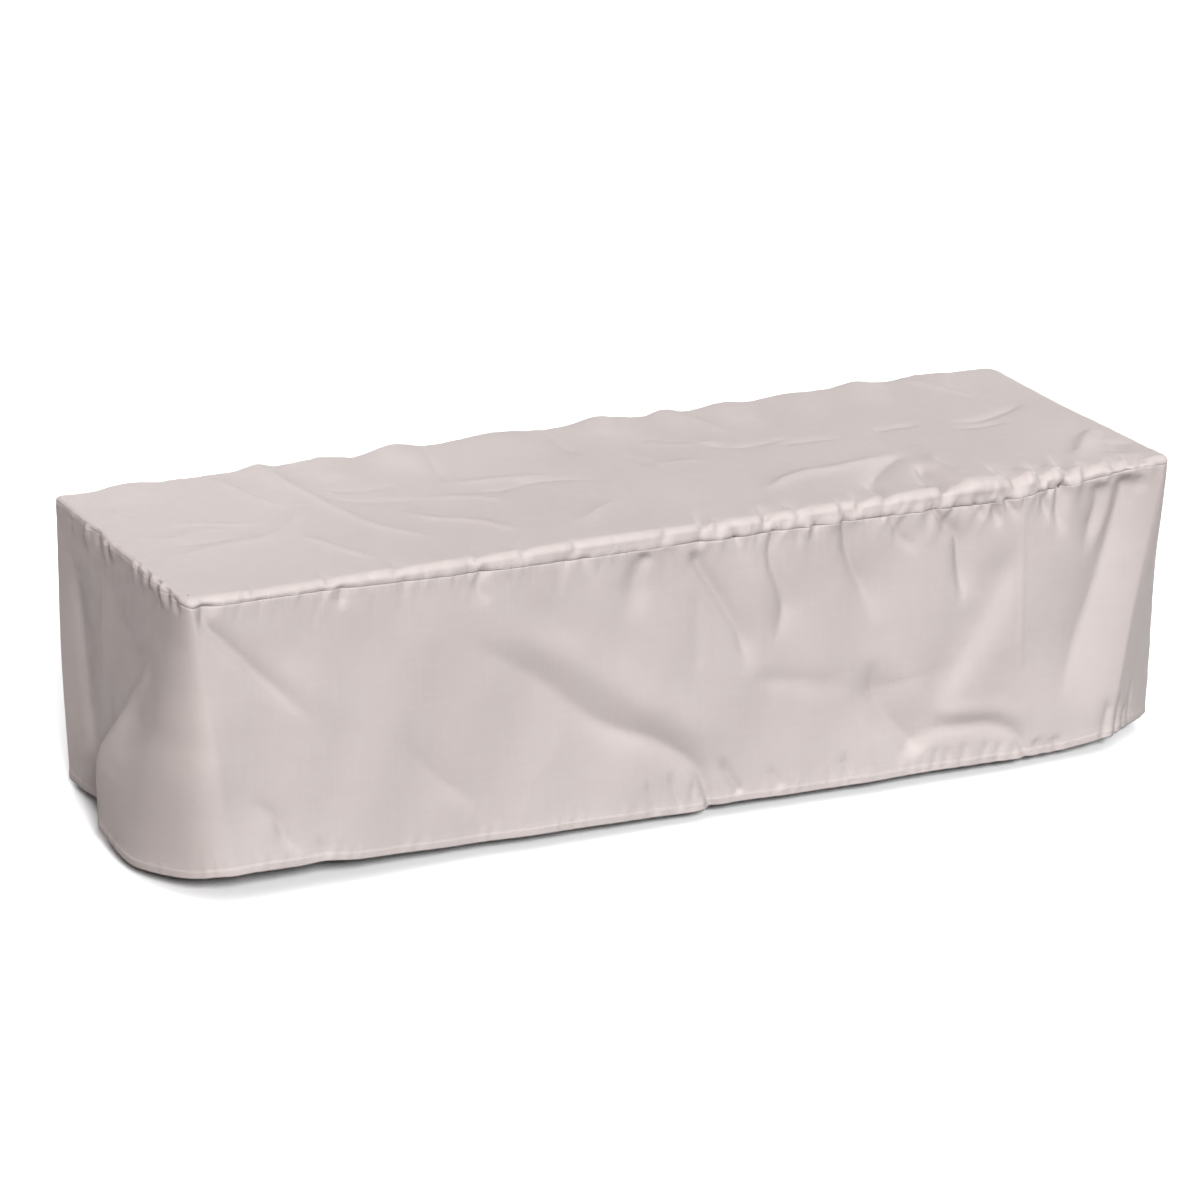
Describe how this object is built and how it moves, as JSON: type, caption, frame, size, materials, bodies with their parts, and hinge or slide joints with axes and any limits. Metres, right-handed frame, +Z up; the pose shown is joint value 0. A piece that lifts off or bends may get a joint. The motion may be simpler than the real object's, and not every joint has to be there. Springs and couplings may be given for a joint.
{
  "type": "lounge chair cover",
  "caption": "Fitted outdoor cover for a lounge chair: pale taupe coated cloth, a top panel sewn to a long skirt that hangs in soft uneven folds.",
  "frame": {"origin": "underside of the top panel, in the middle of its length and width, where the chair carries the cover", "axes": "+X along the cover's length, +Y towards its back, +Z up; the front with the wandering seam faces -Y"},
  "size_m": [2.1217, 0.7484, 0.588],
  "materials": {
    "cloth": "satin"
  },
  "bodies": {
    "root": {"top_panel": "cloth", "skirt": "cloth"}
  },
  "joints": []
}
